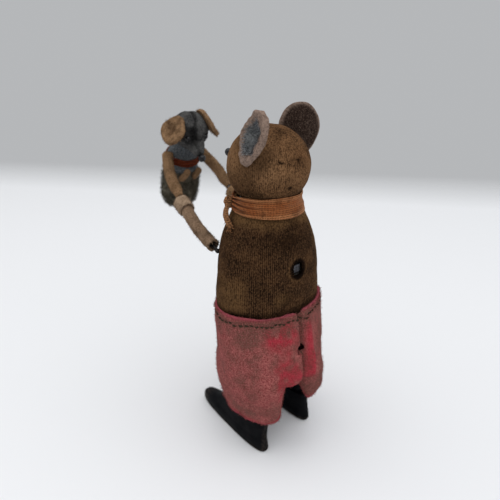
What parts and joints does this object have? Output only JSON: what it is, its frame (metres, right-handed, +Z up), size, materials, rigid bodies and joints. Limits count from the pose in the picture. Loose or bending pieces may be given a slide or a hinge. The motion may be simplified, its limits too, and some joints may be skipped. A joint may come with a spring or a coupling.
{
  "type": "clockwork mouse",
  "caption": "Clockwork dancing mouse in felt trousers that swings a small young mouse up and down in its wire arms.",
  "frame": {"origin": "on the floor under the middle of the whole toy's bounding box", "axes": "+Z up, the big mouse faces -Y towards the young mouse, +X is the big mouse's left side"},
  "size_m": [0.0364, 0.0724, 0.105],
  "materials": {
    "velvet": "worn dark brown velvet with the pile rubbed off in patches",
    "head_velvet": "worn lighter brown velvet",
    "ear_felt": "brown felt ears, grey and fibrous inside",
    "sleeve_felt": "brown felt tube, ragged at its end",
    "trouser_felt": "dusty rose felt, soiled grey",
    "ribbon": "thin tan gauze ribbon",
    "black_paint": "worn black paint with a slight sheen",
    "tin": "bare pressed tinplate",
    "brass": "stamped brass",
    "steel": "drawn steel, darkened",
    "bead": "black glass-like bead",
    "grey_felt": "dark grey felt, worn smooth",
    "tan_felt": "tan felt",
    "rust_ribbon": "rust red ribbon",
    "young_pile": "matted grey-olive pile"
  },
  "bodies": {
    "mother": {"body_velvet": "velvet", "rear_body_shell": "tin", "front_body_shell": "tin", "base_plate": "tin", "head_shell": "tin", "trousers": "trouser_felt", "left_foot": "black_paint", "right_foot": "black_paint", "left_leg": "black_paint", "right_leg": "black_paint", "head_velvet": "head_velvet", "left_ear": "ear_felt", "right_ear": "ear_felt", "left_eye": "bead", "right_eye": "bead", "nose": "bead", "neck_ribbon": "ribbon", "ribbon_knot": "ribbon", "rear_plate": "brass", "front_plate": "brass", "lower_left_pillar": "brass", "lower_right_pillar": "brass", "upper_left_pillar": "brass", "upper_right_pillar": "brass", "mainspring": "steel"},
    "great": {"great_wheel": "brass", "click_spring": "steel"},
    "click": {"click": "steel"},
    "winding": {"winding_arbor": "steel", "ratchet_wheel": "steel"},
    "crank": {"second_wheel": "brass", "second_arbor": "steel", "crank_disc": "steel"},
    "third": {"third_wheel": "brass", "third_arbor": "steel"},
    "fly": {"fly_weight": "steel", "fly_arbor": "steel"},
    "arms": {"arm_shaft": "steel", "left_arm_wire": "steel", "right_arm_wire": "steel", "left_sleeve": "sleeve_felt", "right_sleeve": "sleeve_felt", "left_cuff": "tan_felt", "right_cuff": "tan_felt"},
    "link": {"arm_link": "steel"},
    "young_arms": {"young_left_arm_wire": "steel", "young_right_arm_wire": "steel", "young_left_sleeve": "tan_felt", "young_right_sleeve": "tan_felt"},
    "young": {"young_body": "young_pile", "young_head": "grey_felt", "young_left_eye": "bead", "young_right_eye": "bead", "young_nose": "bead", "young_left_ear": "tan_felt", "young_right_ear": "tan_felt", "young_ribbon": "rust_ribbon", "young_left_leg": "tan_felt", "young_right_leg": "tan_felt"}
  },
  "joints": [
    {"name": "crank_turn", "type": "hinge", "parent": "mother", "child": "crank", "pos_m": [0.00247, 0.0202, 0.0533], "axis": [0, 1, 0], "continuous": true},
    {"name": "great_turn", "type": "hinge", "parent": "mother", "child": "great", "pos_m": [0.00047, 0.0202, 0.063], "axis": [0, 1, 0], "continuous": true},
    {"name": "third_turn", "type": "hinge", "parent": "mother", "child": "third", "pos_m": [-0.00153, 0.0202, 0.04638], "axis": [0, 1, 0], "continuous": true},
    {"name": "fly_turn", "type": "hinge", "parent": "mother", "child": "fly", "pos_m": [0.00097, 0.0202, 0.0392], "axis": [0, 1, 0], "continuous": true},
    {"name": "winding_turn", "type": "hinge", "parent": "great", "child": "winding", "pos_m": [0.00047, 0.0202, 0.063], "axis": [0, 1, 0], "continuous": true},
    {"name": "click_lift", "type": "hinge", "parent": "great", "child": "click", "pos_m": [0.0063, 0.0202, 0.06512], "axis": [0, 1, 0], "range_deg": [0, 12], "stiffness_Nm_per_rad": 0.0001, "springref_deg": -11.46},
    {"name": "arm_swing", "type": "hinge", "parent": "mother", "child": "arms", "pos_m": [0.00047, 0.0123, 0.0648], "axis": [1, 0, 0], "range_deg": [-20, 20]},
    {"name": "link_pivot", "type": "hinge", "parent": "arms", "child": "link", "pos_m": [0.00247, 0.011, 0.0648], "axis": [1, 0, 0], "range_deg": [-20, 20]},
    {"name": "hand_pivot", "type": "hinge", "parent": "arms", "child": "young_arms", "pos_m": [0.00047, -0.0104, 0.0732], "axis": [1, 0, 0], "range_deg": [-15, 15]},
    {"name": "young_pivot", "type": "hinge", "parent": "young_arms", "child": "young", "pos_m": [0.00047, -0.0238, 0.0853], "axis": [1, 0, 0], "range_deg": [-15, 15]}
  ],
  "couplings": [
    {"joint": "great_turn", "follows": "crank_turn", "ratio": -0.22222},
    {"joint": "third_turn", "follows": "crank_turn", "ratio": -4},
    {"joint": "fly_turn", "follows": "crank_turn", "ratio": 15},
    {"joint": "link_pivot", "follows": "arm_swing", "ratio": -1}
  ]
}
